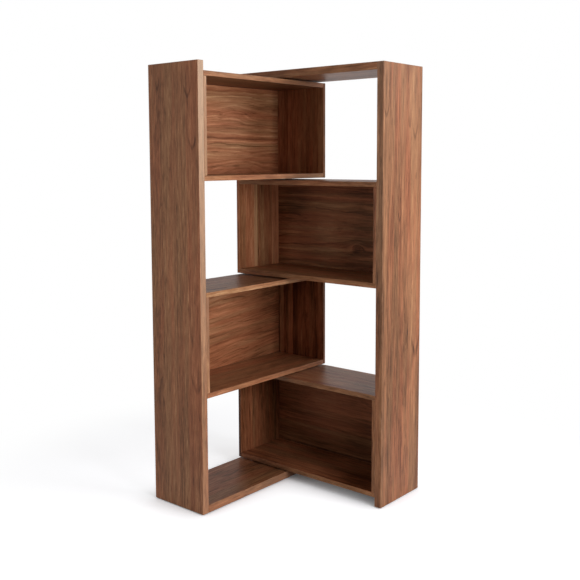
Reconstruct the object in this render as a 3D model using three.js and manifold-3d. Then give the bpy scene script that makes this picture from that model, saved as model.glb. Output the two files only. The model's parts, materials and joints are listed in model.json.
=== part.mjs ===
// A zigzag bookshelf of two equal halves. Each half is a tall side with one long thick board and
// two boxes. The right half is the left one turned upside down: their boxes lie one above the
// other in the corner, and turn on five vertical pivots, so the shelf stands as a corner, in a
// line or folded. Millimetres, +Z up, origin on the floor in the middle of the square it covers.

import * as THREE from "three";
import { mergeVertices } from "three/addons/utils/BufferGeometryUtils.js";
import Module from "manifold-3d";

const wasm = await Module();
wasm.setup();

// Driving sizes of the furniture.
const depth = 287; // front edges to back edges
const halfLength = 796; // outer face of a tall side to the inner end of its boxes
const boxHeight = 426;
const boxesPerHalf = 2;
const thickBoard = 31; // tall sides, base board and top board
const boxBoard = 20; // tops and bottoms of the boxes
const sidePanel = 15; // linings and end panels of the boxes
const backPanel = 15;
const arris = 0.8; // the eased edge of every board

// Clearances.
const seatGap = 0.3; // between faces that meet
const runningGap = 0.3; // round a pivot journal in its bush
const tipRoom = 1.2; // past the end of whatever goes into a blind hole
const overrun = 1; // how far a cut or a fused peg reaches past a face

// Pivots: a steel pin in the lower board, a flanged bush in the upper one. Both fill one bore.
const pivotBore = 14;
const pivotSeatDepth = 13.5; // how far a pin's shank or a bush's sleeve goes into its board
const journalDiameter = 9;
const journalLength = 12.5;
const collarDiameter = 38;
const collarThickness = 2.9;
const flangeThickness = 3;
const pinChamfer = 0.8;

// Dowels, glued into the end of the board that carries them.
const thickDowelDiameter = 10;
const thickDowelStand = 18;
const thickDowelsPerBoard = 3;
const boxDowelDiameter = 8;
const boxDowelStandInSide = 15;
const boxDowelStandInEnd = 9;
const fixingInset = 48; // dowels and screws from the front edge, and from the back panel

// The tongue round a back panel, held in a groove of the boards about it.
const tongueThickness = 6;
const tongueWidth = 5;

// Connecting screws, which hold a box's lining to the tall side.
const screwDiameter = 6.4;
const screwHeadDiameter = 15;
const screwHeadThickness = 2.6;
const screwGrip = 24; // how far a screw goes into the tall side
const screwPoint = 4; // the tapered end
const screwTipDiameter = 3;
const socketWidth = 4; // across the flats of the hexagon key
const socketDepth = 1.8;
const screwInset = 78; // from a lining's end

// Glides under what stands on the floor.
const glideDiameter = 24;
const glideThickness = 2.7;
const glideChamfer = 0.9;
const glideStemDiameter = 5;
const glideStemLength = 16;
const glideInset = 38; // from the edges of the board

// Facets of the round pieces.
const pivotSides = 18;
const screwSides = 12;
const dowelSides = 10;
const glideSides = 16;
const hexagonSides = 6;

// Worked out from the sizes above.
const pivotGap = collarThickness + flangeThickness + 3 * seatGap; // between the two halves' boards
const layers = 2 * boxesPerHalf;
const tallLength = 2 * thickBoard + layers * boxHeight + (layers + 1) * pivotGap;
const floorGap = glideThickness + seatGap;
const liningFace = thickBoard + seatGap + sidePanel; // where a box's inside begins
const endFace = halfLength - sidePanel; // and where it ends
const backFace = depth - backPanel;
const pivotX = halfLength - depth / 2;
const pivotY = depth / 2;

const up = new THREE.Vector3(0, 0, 1);
const outward = new THREE.Vector3(1, 0, 0); // from the tall side to the inner end
const at = (x, y, z) => new THREE.Vector3(x, y, z);

// Finishes.
const walnut = { color: 0x6f4a33, roughness: 0.42, metalness: 0 };
const steel = { color: 0xb4b6b8, roughness: 0.3, metalness: 1 };
const nylon = { color: 0xe6e2d8, roughness: 0.5, metalness: 0 };
const bronzedScrew = { color: 0x8a7455, roughness: 0.38, metalness: 1 };
const darkPlastic = { color: 0x2a2624, roughness: 0.6, metalness: 0 };

// A closed three.js geometry as a solid that can be joined and cut.
function solid(geometry) {
  const bare = geometry.clone();
  bare.deleteAttribute("normal");
  bare.deleteAttribute("uv");
  const merged = mergeVertices(bare);
  return new wasm.Manifold(
    new wasm.Mesh({
      numProp: 3,
      vertProperties: merged.attributes.position.array,
      triVerts: new Uint32Array(merged.index.array),
    }),
  );
}

// The solid as a geometry again, with flat facets.
function geometryOf(made) {
  const { vertProperties, triVerts } = made.getMesh();
  const shared = new THREE.BufferGeometry()
    .setAttribute("position", new THREE.BufferAttribute(vertProperties, 3))
    .setIndex(new THREE.BufferAttribute(triVerts, 1));
  const faceted = shared.toNonIndexed();
  faceted.computeVertexNormals();
  return faceted;
}

// A board between two corners, with all its edges eased.
function board(low, high) {
  const size = high.clone().sub(low);
  const outline = new THREE.Shape(
    [
      [arris, 0],
      [size.x - arris, 0],
      [size.x, arris],
      [size.x, size.y - arris],
      [size.x - arris, size.y],
      [arris, size.y],
      [0, size.y - arris],
      [0, arris],
    ].map(([x, y]) => new THREE.Vector2(x, y)),
  );
  const geometry = new THREE.ExtrudeGeometry(outline, {
    depth: size.z - 2 * arris,
    bevelThickness: arris,
    bevelSize: arris,
    bevelOffset: -arris,
    bevelSegments: 1,
  });
  return solid(geometry.translate(low.x, low.y, low.z + arris));
}

// A sharp-edged block between two corners, for tongues and cuts.
function block(low, high) {
  const size = high.clone().sub(low);
  const middle = low.clone().add(high).multiplyScalar(0.5);
  const geometry = new THREE.BoxGeometry(size.x, size.y, size.z);
  return solid(geometry.translate(middle.x, middle.y, middle.z));
}

// A round rod on a line through a point, from one distance along it to another.
function rod(point, direction, from, to, diameter, sides) {
  const geometry = new THREE.CylinderGeometry(diameter / 2, diameter / 2, to - from, sides);
  const turn = new THREE.Quaternion().setFromUnitVectors(at(0, 1, 0), direction);
  const middle = point.clone().addScaledVector(direction, (from + to) / 2);
  geometry.applyQuaternion(turn).translate(middle.x, middle.y, middle.z);
  return solid(geometry);
}

// The size across the corners of a round or a hexagon whose flats are this far apart.
const acrossCorners = (acrossFlats, sides) => acrossFlats / Math.cos(Math.PI / sides);

// A round hole along such a line. Its flats lie on the true circle, so that what is round and
// that size goes in however its own facets are turned.
function hole(point, direction, depthIn, diameter, sides) {
  return rod(point, direction, -overrun, depthIn, acrossCorners(diameter, sides), sides);
}

// A piece turned on a lathe about Z, from the radius and height of each point of its profile.
function turned(profile, sides) {
  const points = profile.map(([radius, height]) => new THREE.Vector2(radius, height));
  const geometry = new THREE.LatheGeometry(points, sides);
  return solid(geometry.rotateX(Math.PI / 2));
}

// A dowel stands out of a board's end, and its hole goes into the board that it meets.
function dowel(point, direction, diameter, stand) {
  return {
    peg: rod(point, direction, -overrun, stand, diameter, dowelSides),
    hole: hole(point, direction, stand + tipRoom, diameter + 2 * seatGap, dowelSides),
  };
}

const join = (first, others) => others.reduce((made, other) => made.add(other), first);
const cut = (first, others) => others.reduce((made, other) => made.subtract(other), first);

// Where dowels and screws lie between the front edge and the back panel.
function fixingRows(count) {
  const first = fixingInset;
  const last = backFace - fixingInset;
  return Array.from({ length: count }, (_, i) => first + ((last - first) * i) / (count - 1));
}

// The bore for a pin or a bush, from a board's face into its thickness.
function pivotHole(faceHeight, out) {
  const intoBoard = up.clone().multiplyScalar(-out);
  const deep = pivotSeatDepth + tipRoom;
  const wide = pivotBore + 2 * seatGap;
  return hole(at(pivotX, pivotY, faceHeight), intoBoard, deep, wide, pivotSides);
}

// A pivot pin: shank below its board's face, then the collar, then the journal. Heights are
// counted from that face, and the pin points up.
function pivotPin() {
  const shank = pivotBore / 2;
  const journal = journalDiameter / 2;
  const collarTop = seatGap + collarThickness;
  const top = collarTop + journalLength;
  return turned(
    [
      [0, -pivotSeatDepth],
      [shank - pinChamfer, -pivotSeatDepth],
      [shank, pinChamfer - pivotSeatDepth],
      [shank, seatGap],
      [collarDiameter / 2, seatGap],
      [collarDiameter / 2, collarTop],
      [journal, collarTop],
      [journal, top - pinChamfer],
      [journal - pinChamfer, top],
      [0, top],
    ],
    pivotSides,
  );
}

// A flanged bush: the sleeve in its board, and the flange that turns on the pin's collar.
function pivotBush() {
  const sleeve = pivotBore / 2;
  const bore = acrossCorners(journalDiameter + 2 * runningGap, pivotSides) / 2;
  const flangeTop = seatGap + flangeThickness;
  return turned(
    [
      [bore, -pivotSeatDepth],
      [sleeve, -pivotSeatDepth],
      [sleeve, seatGap],
      [collarDiameter / 2, seatGap],
      [collarDiameter / 2, flangeTop],
      [bore, flangeTop],
      [bore, -pivotSeatDepth],
    ],
    pivotSides,
  );
}

// A connecting screw, head down at zero and shank up, with a hexagon socket in the head.
function connectingScrew() {
  const shank = screwDiameter / 2;
  const length = sidePanel + seatGap + screwGrip;
  const body = turned(
    [
      [0, 0],
      [screwHeadDiameter / 2, 0],
      [screwHeadDiameter / 2, screwHeadThickness],
      [shank, screwHeadThickness],
      [shank, length - screwPoint],
      [screwTipDiameter / 2, length],
      [0, length],
    ],
    screwSides,
  );
  return body.subtract(hole(at(0, 0, 0), up, socketDepth, socketWidth, hexagonSides));
}

// What a screw needs cut out of the lining and the tall side: a counterbore and a straight hole.
function screwHoles(point, direction) {
  const length = sidePanel + seatGap + screwGrip;
  const headRoom = screwHeadDiameter + 2 * seatGap;
  return {
    counterbore: hole(point, direction, screwHeadThickness + seatGap, headRoom, screwSides),
    shankHole: hole(point, direction, length + tipRoom, screwDiameter + 2 * seatGap, screwSides),
  };
}

// A glide: a flat disc on the floor with a stem up into the board.
function glide() {
  const radius = glideDiameter / 2;
  const stem = glideStemDiameter / 2;
  const top = glideThickness + seatGap + glideStemLength;
  return turned(
    [
      [0, 0],
      [radius - glideChamfer, 0],
      [radius, glideChamfer],
      [radius, glideThickness],
      [stem, glideThickness],
      [stem, top],
      [0, top],
    ],
    glideSides,
  );
}

// The hole for a glide's stem, up into a board from its lower face.
function glideHole(x, y, faceHeight, intoBoard) {
  const wide = glideStemDiameter + 2 * seatGap;
  return hole(at(x, y, faceHeight), intoBoard, glideStemLength + tipRoom, wide, glideSides);
}

// The long thick board of a half, dowelled to the tall side's inner face.
function longBoard() {
  const low = at(thickBoard + seatGap, 0, 0);
  const blank = board(low, at(halfLength, depth, thickBoard));
  const dowels = fixingRows(thickDowelsPerBoard).map((y) =>
    dowel(
      at(low.x, y, thickBoard / 2),
      outward.clone().negate(),
      thickDowelDiameter,
      thickDowelStand,
    ),
  );
  const made = join(blank, dowels.map((d) => d.peg)).subtract(pivotHole(thickBoard, 1));
  return { low, made, sideHoles: dowels.map((d) => d.hole) };
}

// A box's top or bottom board, with dowels into the tall side and into the end panel.
// The pivot's bore is in the face on the given side, 1 above or -1 below.
function boxBoardSolid(low, out) {
  const high = at(endFace - seatGap, depth, low.z + boxBoard);
  const middle = low.z + boxBoard / 2;
  const toSide = fixingRows(2).map((y) =>
    dowel(at(low.x, y, middle), outward.clone().negate(), boxDowelDiameter, boxDowelStandInSide),
  );
  const toEnd = fixingRows(2).map((y) =>
    dowel(at(high.x, y, middle), outward, boxDowelDiameter, boxDowelStandInEnd),
  );
  const pegs = [...toSide, ...toEnd].map((d) => d.peg);
  const made = join(board(low, high), pegs).subtract(pivotHole(out > 0 ? high.z : low.z, out));
  return { low, made, sideHoles: toSide.map((d) => d.hole), endHoles: toEnd.map((d) => d.hole) };
}

// The back panel of a box whose inside runs between two heights, and the groove for its tongue.
function backPanelSolid(insideLow, insideHigh) {
  const low = at(liningFace + seatGap, backFace, insideLow + seatGap);
  const high = at(endFace - seatGap, depth, insideHigh - seatGap);
  const tongueY = backFace + (backPanel - tongueThickness) / 2;
  const reach = at(tongueWidth, 0, tongueWidth);
  const tongueLow = low.clone().sub(reach).setY(tongueY);
  const tongueHigh = high.clone().add(reach).setY(tongueY + tongueThickness);
  const room = at(seatGap, seatGap, seatGap);
  return {
    low,
    made: board(low, high).add(block(tongueLow, tongueHigh)),
    groove: block(tongueLow.clone().sub(room), tongueHigh.clone().add(room)),
  };
}

// One box of a half, from the height of its lower face.
function box(bottom) {
  const top = bottom + boxHeight;
  const insideLow = bottom + boxBoard;
  const insideHigh = top - boxBoard;
  const lower = boxBoardSolid(at(thickBoard + seatGap, 0, bottom), -1);
  const upper = boxBoardSolid(at(thickBoard + seatGap, 0, top - boxBoard), 1);
  const back = backPanelSolid(insideLow, insideHigh);
  const screwHeights = [insideLow + screwInset, insideHigh - screwInset];
  const screwSpots = screwHeights.flatMap((z) =>
    fixingRows(2).map((y) => at(liningFace, y, z)),
  );
  const screws = screwSpots.map((spot) => screwHoles(spot, outward.clone().negate()));

  const liningLow = at(thickBoard + seatGap, 0, insideLow + seatGap);
  const lining = cut(board(liningLow, at(liningFace, depth, insideHigh - seatGap)), [
    back.groove,
    ...screws.flatMap((s) => [s.counterbore, s.shankHole]),
  ]);
  const endLow = at(endFace, 0, bottom);
  const end = cut(board(endLow, at(halfLength, depth, top)), [
    back.groove,
    ...lower.endHoles,
    ...upper.endHoles,
  ]);
  return {
    pieces: {
      lower: { low: lower.low, made: lower.made.subtract(back.groove) },
      upper: { low: upper.low, made: upper.made.subtract(back.groove) },
      lining: { low: liningLow, made: lining },
      end: { low: endLow, made: end },
      back: { low: back.low, made: back.made },
    },
    sideHoles: [...lower.sideHoles, ...upper.sideHoles, ...screws.map((s) => s.shankHole)],
    screwSpots,
  };
}

// A named mesh of a solid, with its own material.
function mesh(name, made, finish) {
  const named = new THREE.Mesh(geometryOf(made), new THREE.MeshStandardMaterial(finish));
  named.name = name;
  return named;
}

// A board's mesh, whose geometry starts at its own low corner and which is placed there.
function boardMesh(name, { low, made }) {
  const placed = mesh(name, made, walnut);
  placed.geometry.translate(-low.x, -low.y, -low.z);
  placed.position.copy(low);
  return placed;
}

// One half in its own frame: x from the tall side's outer face, y from the front edges, z from
// the end that has the long board. names says what each piece is called once the half stands.
function half(names, upright) {
  const group = new THREE.Group();
  const long = longBoard();
  const boxes = names.boxes.map((_, i) => {
    const layersBelow = 2 * i + 1;
    return box(thickBoard + layersBelow * boxHeight + (layersBelow + 1) * pivotGap);
  });

  // The glides' stems go into the tall side and, on the upright half, into the long board.
  const footHeight = upright ? 0 : tallLength;
  const intoBoard = up.clone().multiplyScalar(upright ? 1 : -1);
  const glideRows = [glideInset, depth - glideInset];
  const glideAt = (x) => glideRows.map((y) => at(x, y, footHeight));
  const sideGlides = glideAt(thickBoard / 2);
  const boardGlides = upright ? glideAt(halfLength - glideInset) : [];
  const stemHole = (spot) => glideHole(spot.x, spot.y, spot.z, intoBoard);

  const tallLow = at(0, 0, 0);
  const tall = cut(board(tallLow, at(thickBoard, depth, tallLength)), [
    ...long.sideHoles,
    ...boxes.flatMap((b) => b.sideHoles),
    ...sideGlides.map(stemHole),
  ]);
  group.add(boardMesh(names.tallSide, { low: tallLow, made: tall }));
  const longMade = cut(long.made, boardGlides.map(stemHole));
  group.add(boardMesh(names.longBoard, { low: long.low, made: longMade }));

  boxes.forEach((made, i) => {
    const name = names.boxes[i];
    const called = upright ? { lower: "bottom", upper: "top" } : { lower: "top", upper: "bottom" };
    for (const [part, piece] of Object.entries(made.pieces))
      group.add(boardMesh(`${name}_${called[part] ?? part}`, piece));
    made.screwSpots.forEach((spot, n) => {
      const screw = mesh(`${name}_screw_${n + 1}`, connectingScrew(), bronzedScrew);
      screw.position.copy(spot);
      screw.quaternion.setFromUnitVectors(up, outward.clone().negate());
      group.add(screw);
    });
  });

  // Pivot fittings, from the long board outwards. A face that looks up when the half stands
  // carries a pin, and one that looks down carries a bush.
  const faces = [{ z: thickBoard, out: 1 }];
  boxes.forEach((made) => {
    faces.push({ z: made.pieces.lower.low.z, out: -1 });
    faces.push({ z: made.pieces.upper.low.z + boxBoard, out: 1 });
  });
  faces.forEach(({ z, out }, i) => {
    const level = upright ? i + 1 : faces.length - i;
    const looksUp = upright ? out > 0 : out < 0;
    const fitting = looksUp
      ? mesh(`pivot_pin_${level}`, pivotPin(), steel)
      : mesh(`pivot_bush_${level}`, pivotBush(), nylon);
    fitting.position.set(pivotX, pivotY, z);
    if (out < 0) fitting.rotation.x = Math.PI;
    group.add(fitting);
  });

  [...sideGlides, ...boardGlides].forEach((spot, i) => {
    const foot = mesh(names.glides[i], glide(), darkPlastic);
    foot.position.copy(spot).addScaledVector(intoBoard, -floorGap);
    if (!upright) foot.rotation.x = Math.PI;
    group.add(foot);
  });
  return group;
}

const left = half(
  {
    tallSide: "left_tall_side",
    longBoard: "left_base_board",
    boxes: ["box_3", "box_1"],
    glides: [
      "left_side_glide_front",
      "left_side_glide_back",
      "base_glide_front",
      "base_glide_back",
    ],
  },
  true,
);
left.position.set(-halfLength / 2, halfLength / 2 - depth, floorGap);

// The right half is turned over about the level line at 45 degrees, so that its x runs along the
// other leg of the corner, its front looks into the corner and its long board is at the top.
const right = half(
  {
    tallSide: "right_tall_side",
    longBoard: "right_top_board",
    boxes: ["box_2", "box_4"],
    glides: ["right_side_glide_front", "right_side_glide_back"],
  },
  false,
);
right.quaternion.setFromAxisAngle(at(1, 1, 0).normalize(), Math.PI);
right.position.set(halfLength / 2 - depth, -halfLength / 2, floorGap + tallLength);

const group = new THREE.Group();
group.add(left, right);

export default group;
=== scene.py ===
# %% [markdown]
# # A zigzag bookshelf in walnut
#
# Two equal halves stand in a corner and turn on one upright line of pins. Each half is a full-height
# side, one long thick board and two boxes, and the boxes of the two halves lie one above the other where
# they cross. The shapes come ready made, as one solid for each board and fitting. This lesson gives them
# their finish: walnut veneer with its own figure on every board, turned steel, nylon and screws, a white
# studio and the camera.

# %% Load the shelf
import json
import math
import random

import bmesh
import bpy
from mathutils import Matrix, Vector

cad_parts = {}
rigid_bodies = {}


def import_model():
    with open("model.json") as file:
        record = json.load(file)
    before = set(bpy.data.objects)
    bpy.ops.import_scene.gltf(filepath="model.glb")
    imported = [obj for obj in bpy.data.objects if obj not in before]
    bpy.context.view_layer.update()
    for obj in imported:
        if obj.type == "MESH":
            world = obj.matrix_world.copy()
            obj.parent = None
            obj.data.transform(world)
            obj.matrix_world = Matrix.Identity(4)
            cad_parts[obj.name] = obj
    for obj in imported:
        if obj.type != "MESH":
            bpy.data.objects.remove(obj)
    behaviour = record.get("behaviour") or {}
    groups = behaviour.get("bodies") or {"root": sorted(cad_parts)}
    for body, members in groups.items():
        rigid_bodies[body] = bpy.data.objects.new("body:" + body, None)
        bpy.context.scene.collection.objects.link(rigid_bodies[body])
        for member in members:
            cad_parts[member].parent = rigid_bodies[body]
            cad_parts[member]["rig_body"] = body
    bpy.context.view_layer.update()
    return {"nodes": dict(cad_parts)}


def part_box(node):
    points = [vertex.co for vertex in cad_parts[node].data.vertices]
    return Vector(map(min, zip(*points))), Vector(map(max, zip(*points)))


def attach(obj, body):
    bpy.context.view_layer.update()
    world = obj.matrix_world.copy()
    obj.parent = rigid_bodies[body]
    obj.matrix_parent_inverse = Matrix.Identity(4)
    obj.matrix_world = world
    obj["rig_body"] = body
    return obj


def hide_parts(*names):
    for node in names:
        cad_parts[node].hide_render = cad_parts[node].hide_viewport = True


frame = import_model()
nodes = frame["nodes"]

# %% [markdown]
# ## The camera
#
# The shelf was photographed from a little above eye level, along the line that halves the corner, so
# both arms fall away to the sides alike. The photographer kept the uprights upright by sliding the lens
# down instead of tipping the camera. Here the camera tips a few degrees and slides the rest, so that the
# slide stays small.

# %% Set the camera
CAMERA_PLACE = Vector((-2.66868, -2.26327, 1.41944))
CAMERA_YAW = math.radians(49.8519)  # from +Y towards +X
CAMERA_PITCH = math.radians(-5.4032)
CAMERA_ROLL = math.radians(-0.1695)
CAMERA_LENS = 52.4134  # millimetres
SENSOR_WIDTH = 36.0
CAMERA_SLIDE = -0.0862  # share of the picture's width


def camera_turn(yaw, pitch, roll):
    """The turn that looks along yaw and pitch, rolled about the line of sight."""
    ahead = Vector((math.sin(yaw) * math.cos(pitch), math.cos(yaw) * math.cos(pitch), math.sin(pitch)))
    level = Vector((math.cos(yaw), -math.sin(yaw), 0))
    above = level.cross(ahead)
    right = level * math.cos(roll) + above * math.sin(roll)
    upward = above * math.cos(roll) - level * math.sin(roll)
    return Matrix((right, upward, -ahead)).transposed()


lens = bpy.data.cameras.new("camera")
lens.lens = CAMERA_LENS
lens.sensor_width = SENSOR_WIDTH
lens.shift_y = CAMERA_SLIDE
camera = bpy.data.objects.new("camera", lens)
bpy.context.scene.collection.objects.link(camera)
turn = camera_turn(CAMERA_YAW, CAMERA_PITCH, CAMERA_ROLL)
camera.matrix_world = Matrix.Translation(CAMERA_PLACE) @ turn.to_4x4()
bpy.context.scene.camera = camera
print("camera at", [round(x, 2) for x in camera.matrix_world.translation])

# %% [markdown]
# ## Wires for the shader maths
#
# A finish is a sum of masks, noises and colours. Written node by node such a sum can't be read, so one
# small class holds a socket and lets Python's operators carry it on: a * 2 + b adds two Math nodes.
# Every other node comes from one method, which takes the node's type, its settings and what goes into
# its sockets.

# %% Make the wire class
MIX_FACTOR = 0  # a Mix node has sockets for numbers, vectors and colours; these are the colours' places
MIX_UNDER = 6
MIX_OVER = 7
MIX_RESULT = 2


class Wire:
    """One output of a shader node. Sums and products of wires add their Math nodes to the tree."""

    def __init__(self, tree, socket=None):
        self.tree = tree
        self.socket = socket

    def node(self, kind, settings=None, values=None, output=0):
        """Adds a node: its settings first, then the numbers or wires of its sockets. Gives one output."""
        made = self.tree.nodes.new(kind)
        for name, value in (settings or {}).items():
            if name == "stops":
                lay_stops(made.color_ramp, value)
            else:
                setattr(made, name, value)
        for key, value in (values or {}).items():
            if isinstance(value, Wire):
                self.tree.links.new(value.socket, made.inputs[key])
            else:
                made.inputs[key].default_value = value
        return Wire(self.tree, made.outputs[output] if made.outputs else None)

    def output(self, name):
        """Another output of the same node."""
        return Wire(self.tree, self.socket.node.outputs[name])

    def maths(self, operation, first, second=0.0):
        return self.node("ShaderNodeMath", {"operation": operation}, {0: first, 1: second})

    def __add__(self, other):
        return self.maths("ADD", self, other)

    __radd__ = __add__

    def __sub__(self, other):
        return self.maths("SUBTRACT", self, other)

    def __rsub__(self, other):
        return self.maths("SUBTRACT", other, self)

    def __mul__(self, other):
        return self.maths("MULTIPLY", self, other)

    __rmul__ = __mul__

    def __truediv__(self, other):
        return self.maths("DIVIDE", self, other)

    def __pow__(self, power):
        return self.maths("POWER", self, power)

    def __abs__(self):
        return self.maths("ABSOLUTE", self)

    def above(self, level):
        """1 where the wire is over the level, else 0."""
        return self.maths("GREATER_THAN", self, level)

    def largest(self, other):
        return self.maths("MAXIMUM", self, other)

    def fade(self, low, high, start=0.0, end=1.0):
        """Goes smoothly from start, at low and below, to end, at high and above."""
        settings = {"interpolation_type": "SMOOTHSTEP", "clamp": True}
        values = {"Value": self, "From Min": low, "From Max": high, "To Min": start, "To Max": end}
        return self.node("ShaderNodeMapRange", settings, values)

    def choose(self, first, second):
        """The first where the wire is 0 and the second where it is 1."""
        return first + self * (second - first)

    def split(self):
        """The three parts of a vector or a colour."""
        first = self.node("ShaderNodeSeparateXYZ", {}, {"Vector": self})
        return [first, first.output("Y"), first.output("Z")]

    def joined(self, x, y, z):
        return self.node("ShaderNodeCombineXYZ", {}, {"X": x, "Y": y, "Z": z})

    def mixed(self, amount, under, over, how="MIX"):
        """One colour with another laid over it by that amount."""
        settings = {"data_type": "RGBA", "blend_type": how}
        sockets = {MIX_FACTOR: amount, MIX_UNDER: under, MIX_OVER: over}
        return self.node("ShaderNodeMix", settings, sockets, MIX_RESULT)

    def tinted(self, amount, over, how="MIX"):
        """This colour with another laid over it."""
        return self.mixed(amount, self, over, how)


def lay_stops(ramp, stops):
    """Gives a colour ramp its stops, a list of places and colours."""
    while len(ramp.elements) < len(stops):
        ramp.elements.new(1.0)
    for element, (place, colour) in zip(ramp.elements, stops):
        element.position = place
        element.color = (*colour, 1.0)


print("wire operators ready")

# %% [markdown]
# Every finish starts in the same way: a material with Blender's all-round surface shader, and a wire
# that stands for nothing yet, from which the first nodes are made. What changes over the surface is led
# into the shader's sockets, and what is the same all over is set on them as a number.


# %% Start a finish
def new_finish(name):
    """A material with a bare tree, its surface shader and a wire to start from."""
    material = bpy.data.materials.new(name)
    material.use_nodes = True
    shader = material.node_tree.nodes["Principled BSDF"]
    return material, shader, Wire(material.node_tree)


def feed(wire, shader, socket):
    """Leads a wire into a socket of the shader."""
    wire.tree.links.new(wire.socket, shader.inputs[socket])


print("finishes before the first:", len(bpy.data.materials))

# %% [markdown]
# ## The studio
#
# The shelf stands on a white floor that runs into a white wall with no line between them. Strong lamps
# could make that white, but they would bleach the wood. So the floor is pale and dull, and the camera
# sees it a little lifted: it is white in the open and keeps its soft shadows. Near the boards that stand
# on it an Ambient Occlusion node takes the lift away, so that they don't seem to float.

# %% Build the floor
FLOOR_SIZE = 14.0
FLOOR_DROP = 0.0005  # below the glides, so that no two faces lie in one plane
FLOOR_WHITE = (0.84, 0.85, 0.89, 1.0)
FLOOR_BOUNCE = (0.62, 0.60, 0.58, 1.0)
FLOOR_LIFT = 0.66
CONTACT_REACH = 0.13  # how far from a piece the floor still darkens
CONTACT_SAMPLES = 16
SHADOW_REACH = (0.9, 1.7)  # from the middle, where the floor fades into plain white
WHITE = (1.0, 1.0, 1.0, 1.0)


def seen_directly(start):
    """1 for what the camera sees, straight or in a reflection, and 0 for light that falls on things."""
    path = start.node("ShaderNodeLightPath")
    straight = path.output("Is Camera Ray")
    reflected = path.output("Is Glossy Ray")
    through = path.output("Is Transmission Ray")
    return straight.largest(reflected).largest(through)


def add_floor():
    bpy.ops.mesh.primitive_plane_add(size=FLOOR_SIZE, location=(0, 0, -FLOOR_DROP))
    floor = bpy.context.object
    floor.name = "studio_floor"
    material = bpy.data.materials.new("studio_floor")
    material.use_nodes = True
    tree = material.node_tree
    tree.nodes.clear()
    start = Wire(tree)
    white = start.node("ShaderNodeBsdfDiffuse", {}, {"Color": FLOOR_WHITE})
    lift = start.node("ShaderNodeEmission", {}, {"Color": WHITE, "Strength": FLOOR_LIFT})
    lifted = start.node("ShaderNodeAddShader", {}, {0: white, 1: lift})
    settings = {"samples": CONTACT_SAMPLES}
    clear = start.node("ShaderNodeAmbientOcclusion", settings, {"Distance": CONTACT_REACH}, "AO")
    shown = start.node("ShaderNodeMixShader", {}, {0: clear, 1: white, 2: lifted})
    place = start.node("ShaderNodeTexCoord", output="Object")
    reach = start.node("ShaderNodeVectorMath", {"operation": "LENGTH"}, {0: place}, "Value")
    wall = start.node("ShaderNodeEmission", {}, {"Color": WHITE, "Strength": 1.0})
    far = reach.fade(*SHADOW_REACH)
    shown = start.node("ShaderNodeMixShader", {}, {0: far, 1: shown, 2: wall})
    plain = start.node("ShaderNodeBsdfDiffuse", {}, {"Color": FLOOR_BOUNCE})
    mixed = start.node("ShaderNodeMixShader", {}, {0: seen_directly(start), 1: plain, 2: shown})
    start.node("ShaderNodeOutputMaterial", {}, {"Surface": mixed})
    floor.data.materials.append(material)


add_floor()
print("floor", FLOOR_SIZE, "m")

# %% [markdown]
# Behind and above the floor there is only the world. It is white where the camera or a reflection looks
# at it, and gives the wood a much weaker, even light.

# %% Set the white surroundings
SURROUND_LIGHT = 0.17


def set_surroundings():
    world = bpy.data.worlds.new("studio")
    world.use_nodes = True
    tree = world.node_tree
    tree.nodes.clear()
    start = Wire(tree)
    dim = start.node("ShaderNodeBackground", {}, {"Color": WHITE, "Strength": SURROUND_LIGHT})
    white = start.node("ShaderNodeBackground", {}, {"Color": WHITE, "Strength": 1.0})
    mixed = start.node("ShaderNodeMixShader", {}, {0: seen_directly(start), 1: dim, 2: white})
    start.node("ShaderNodeOutputWorld", {}, {"Surface": mixed})
    bpy.context.scene.world = world


set_surroundings()
bpy.context.scene.view_settings.view_transform = "Standard"
print("surround light", SURROUND_LIGHT)

# %% [markdown]
# ## The studio lights
#
# In the photograph whatever faces the way that the right half's outer side does is bright, and the left
# half's outer side is half as bright. So the main softbox stands to the right of the camera, square to
# the right half's outer side and the left half's front. A weaker one stands higher and farther round,
# and the weakest faces the left half's outer side. A spot or a sun would draw hard shadows. Area lights
# have the size of a real softbox, which gives its soft edges.

# %% Hang the softboxes
AIM = Vector((0.05, 0.05, 0.9))  # near the middle of the shelf
SOFTBOXES = {  # place, width and height in metres, and power in watts
    "main_softbox": ((-0.1, -3.6, 1.6), 2.8, 2.0, 128.0),
    "right_softbox": ((2.5, -2.7, 2.6), 1.6, 1.6, 29.0),
    "side_softbox": ((-3.5, 0.8, 1.4), 1.6, 2.2, 24.0),
}


def softbox(name, place, width, height, power):
    """An area light that faces the middle of the shelf, and that the camera doesn't see."""
    light = bpy.data.lights.new(name, "AREA")
    light.shape = "RECTANGLE"
    light.size = width
    light.size_y = height
    light.energy = power
    lamp = bpy.data.objects.new(name, light)
    bpy.context.scene.collection.objects.link(lamp)
    lamp.location = place
    lamp.rotation_mode = "QUATERNION"
    lamp.rotation_quaternion = (AIM - Vector(place)).to_track_quat("-Z", "Y")
    lamp.visible_camera = False


for name, (place, width, height, power) in SOFTBOXES.items():
    softbox(name, place, width, height, power)
print("softboxes:", ", ".join(SOFTBOXES))

# %% [markdown]
# ## Walnut veneer
#
# The boards are veneered: a thin leaf of walnut on each face and a narrow strip along each edge, under
# satin lacquer. A picture of wood could be wrapped round them, but it would repeat and stretch. A tree
# gives the figure instead. Its growth rings are tubes round a heart line, and a leaf is a nearly flat
# cut along them, so the distance from the heart line, bent by some noise, gives straight grain where the
# cut passes beside the heart and arches where it passes over it. Each board has its own place in the
# tree.

# %% Give each board a place in the tree
PLACES_SEED = 40
HEART = (-0.10, 0.10)
DEPTH = (0.03, 0.09)
RISE = (0.02, 0.05)
SLANT = (-0.02, 0.02)
TONE = (-0.03, 0.03)
SEEDS = (0, 50)


def is_board(node):
    fittings = ("screw", "pin", "bush", "glide")
    return not any(word in node for word in fittings)


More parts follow.
